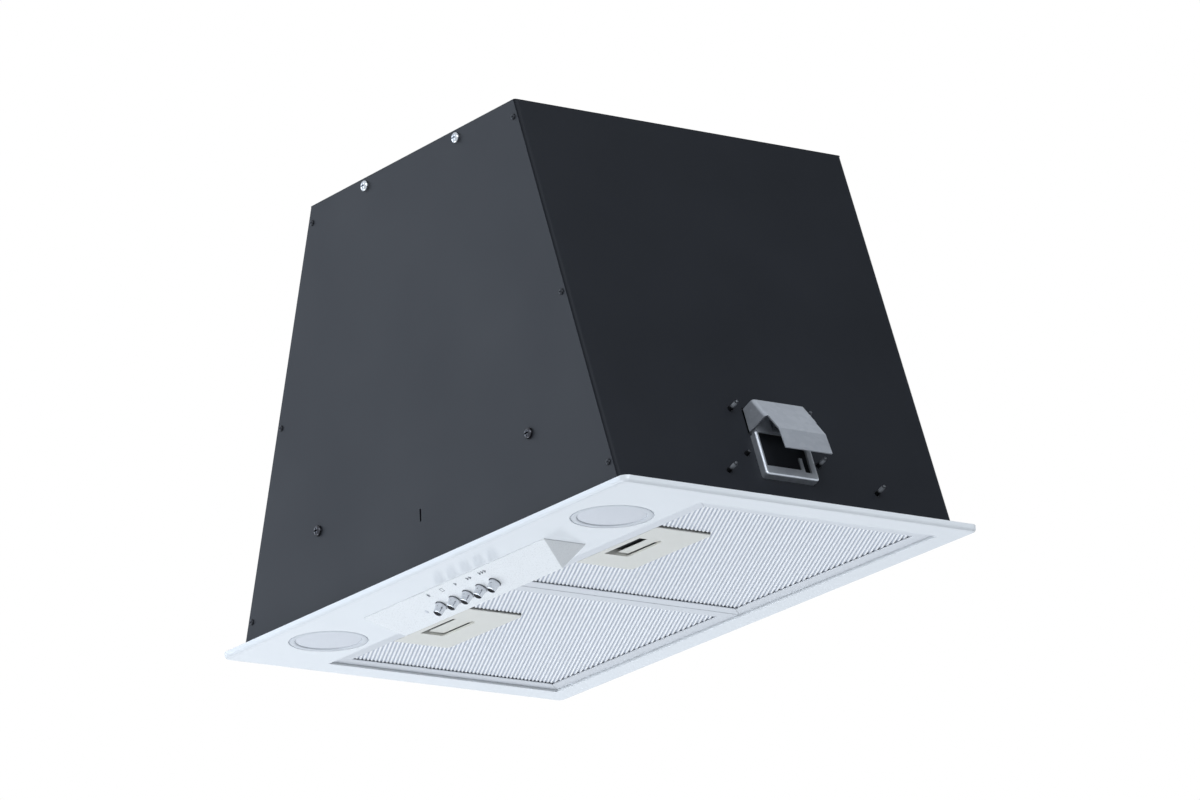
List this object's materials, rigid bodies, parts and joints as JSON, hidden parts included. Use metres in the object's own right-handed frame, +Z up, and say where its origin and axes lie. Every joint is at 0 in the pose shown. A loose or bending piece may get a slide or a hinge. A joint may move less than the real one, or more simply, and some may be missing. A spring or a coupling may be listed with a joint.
{
  "type": "built-in range hood",
  "caption": "Built-in range hood: black sheet-steel canopy on a white face plate with grease filters, lamps, push buttons, side spring catches, blower and duct collar.",
  "frame": {"origin": "The middle of the cabinet cut-out, in the plane where the top of the face plate's rim meets the underside of the cabinet's board.", "axes": "+X to the right as seen from the front, +Y to the back, +Z up to the duct. The buttons and lamps are on the front half, at -Y."},
  "size_m": [0.5284, 0.297, 0.3525],
  "materials": {
    "white_enamel": "glossy",
    "black_powder_coat": "satin",
    "black_screws": "satin",
    "zinc_steel": "bright zinc",
    "dark_nickel": "dark plated",
    "galvanised_steel": "galvanised",
    "spring_steel": "bright",
    "white_plastic": "satin moulded",
    "button_chrome": "polished",
    "frosted_acrylic": "frosted",
    "pilot_acrylic": "clear pale",
    "circuit_board": "satin",
    "filter_aluminium": "mill finish",
    "latch_plastic": "satin moulded",
    "black_plastic": "satin moulded",
    "grey_plastic": "satin moulded",
    "machined_steel": "turned",
    "grommet_rubber": "matt",
    "capacitor_can": "drawn"
  },
  "bodies": {
    "hood": {"face_plate": "white_enamel", "front_panel": "black_powder_coat", "back_panel": "black_powder_coat", "top_panel": "black_powder_coat", "right_side_panel": "black_powder_coat", "left_side_panel": "black_powder_coat", "edge_screws": "black_screws", "side_screws": "black_screws", "top_screws": "zinc_steel", "catch_pins": "zinc_steel", "flap_pin": "zinc_steel", "bracket_screws": "dark_nickel", "right_side_stiffener": "galvanised_steel", "left_side_stiffener": "galvanised_steel", "right_catch_bracket": "galvanised_steel", "left_catch_bracket": "galvanised_steel", "electrics_bracket": "galvanised_steel", "motor_bracket": "galvanised_steel", "right_catch_spring": "spring_steel", "left_catch_spring": "spring_steel", "control_box": "white_plastic", "right_lamp_body": "white_plastic", "left_lamp_body": "white_plastic", "right_lamp_lens": "frosted_acrylic", "left_lamp_lens": "frosted_acrylic", "pilot_lens": "pilot_acrylic", "led_boards": "circuit_board", "switch_block": "black_plastic", "terminal_box": "black_plastic", "terminal_lid": "black_plastic", "lamp_driver": "black_plastic", "right_scroll_half": "black_plastic", "left_scroll_half": "black_plastic", "outlet_collar": "black_plastic", "cable_gland": "black_plastic", "motor_body": "machined_steel", "motor_grommets": "grommet_rubber", "motor_capacitor": "capacitor_can"},
    "light_button": {"light_button": "button_chrome"},
    "stop_button": {"stop_button": "button_chrome"},
    "speed_1_button": {"speed_1_button": "button_chrome"},
    "speed_2_button": {"speed_2_button": "button_chrome"},
    "speed_3_button": {"speed_3_button": "button_chrome"},
    "right_filter": {"right_filter_frame": "filter_aluminium", "right_filter_mesh": "filter_aluminium", "right_latch_housing": "latch_plastic", "right_latch_spring": "spring_steel"},
    "right_latch": {"right_latch_slider": "latch_plastic"},
    "right_catch": {"right_catch_leaf": "galvanised_steel"},
    "left_filter": {"left_filter_frame": "filter_aluminium", "left_filter_mesh": "filter_aluminium", "left_latch_housing": "latch_plastic", "left_latch_spring": "spring_steel"},
    "left_latch": {"left_latch_slider": "latch_plastic"},
    "left_catch": {"left_catch_leaf": "galvanised_steel"},
    "fan": {"fan_wheel": "grey_plastic", "fan_shaft": "machined_steel"},
    "front_flap": {"front_flap": "black_plastic"},
    "rear_flap": {"rear_flap": "black_plastic"}
  },
  "joints": [
    {"name": "light_button_press", "type": "slide", "parent": "hood", "child": "light_button", "axis": [0, 0.4896, 0.8719], "range_m": [0, 0.0035], "stiffness_N_per_m": 300, "springref_m": -0.003},
    {"name": "stop_button_press", "type": "slide", "parent": "hood", "child": "stop_button", "axis": [0, 0.4896, 0.8719], "range_m": [0, 0.0035], "stiffness_N_per_m": 300, "springref_m": -0.003},
    {"name": "speed_1_button_press", "type": "slide", "parent": "hood", "child": "speed_1_button", "axis": [0, 0.4896, 0.8719], "range_m": [0, 0.0035], "stiffness_N_per_m": 300, "springref_m": -0.003},
    {"name": "speed_2_button_press", "type": "slide", "parent": "hood", "child": "speed_2_button", "axis": [0, 0.4896, 0.8719], "range_m": [0, 0.0035], "stiffness_N_per_m": 300, "springref_m": -0.003},
    {"name": "speed_3_button_press", "type": "slide", "parent": "hood", "child": "speed_3_button", "axis": [0, 0.4896, 0.8719], "range_m": [0, 0.0035], "stiffness_N_per_m": 300, "springref_m": -0.003},
    {"name": "right_filter_swing", "type": "hinge", "parent": "hood", "child": "right_filter", "pos_m": [0.1195, 0.128, -0.0034], "axis": [1, 0, 0], "range_deg": [0, 70]},
    {"name": "right_latch_pull", "type": "slide", "parent": "right_filter", "child": "right_latch", "axis": [0, 1, 0], "range_m": [0, 0.006], "stiffness_N_per_m": 400, "springref_m": -0.004, "deforming": ["right_latch_spring"]},
    {"name": "right_catch_fold", "type": "hinge", "parent": "hood", "child": "right_catch", "pos_m": [0.22683, 0.0052, 0.07014], "axis": [0, 1, 0], "range_deg": [0, 22], "stiffness_Nm_per_rad": 1.2, "springref_deg": -20.05, "deforming": ["right_catch_spring"]},
    {"name": "left_filter_swing", "type": "hinge", "parent": "hood", "child": "left_filter", "pos_m": [-0.1195, 0.128, -0.0034], "axis": [1, 0, 0], "range_deg": [0, 70]},
    {"name": "left_latch_pull", "type": "slide", "parent": "left_filter", "child": "left_latch", "axis": [0, 1, 0], "range_m": [0, 0.006], "stiffness_N_per_m": 400, "springref_m": -0.004, "deforming": ["left_latch_spring"]},
    {"name": "left_catch_fold", "type": "hinge", "parent": "hood", "child": "left_catch", "pos_m": [-0.22683, 0.0052, 0.07014], "axis": [0, -1, 0], "range_deg": [0, 22], "stiffness_Nm_per_rad": 1.2, "springref_deg": -20.05, "deforming": ["left_catch_spring"]},
    {"name": "fan_spin", "type": "hinge", "parent": "hood", "child": "fan", "pos_m": [0, -0.012, 0.16], "axis": [1, 0, 0], "continuous": true},
    {"name": "front_flap_swing", "type": "hinge", "parent": "hood", "child": "front_flap", "pos_m": [0, 0.0602, 0.317], "axis": [-1, 0, 0], "range_deg": [0, 75]},
    {"name": "rear_flap_swing", "type": "hinge", "parent": "hood", "child": "rear_flap", "pos_m": [0, 0.0602, 0.317], "axis": [1, 0, 0], "range_deg": [0, 75]}
  ]
}
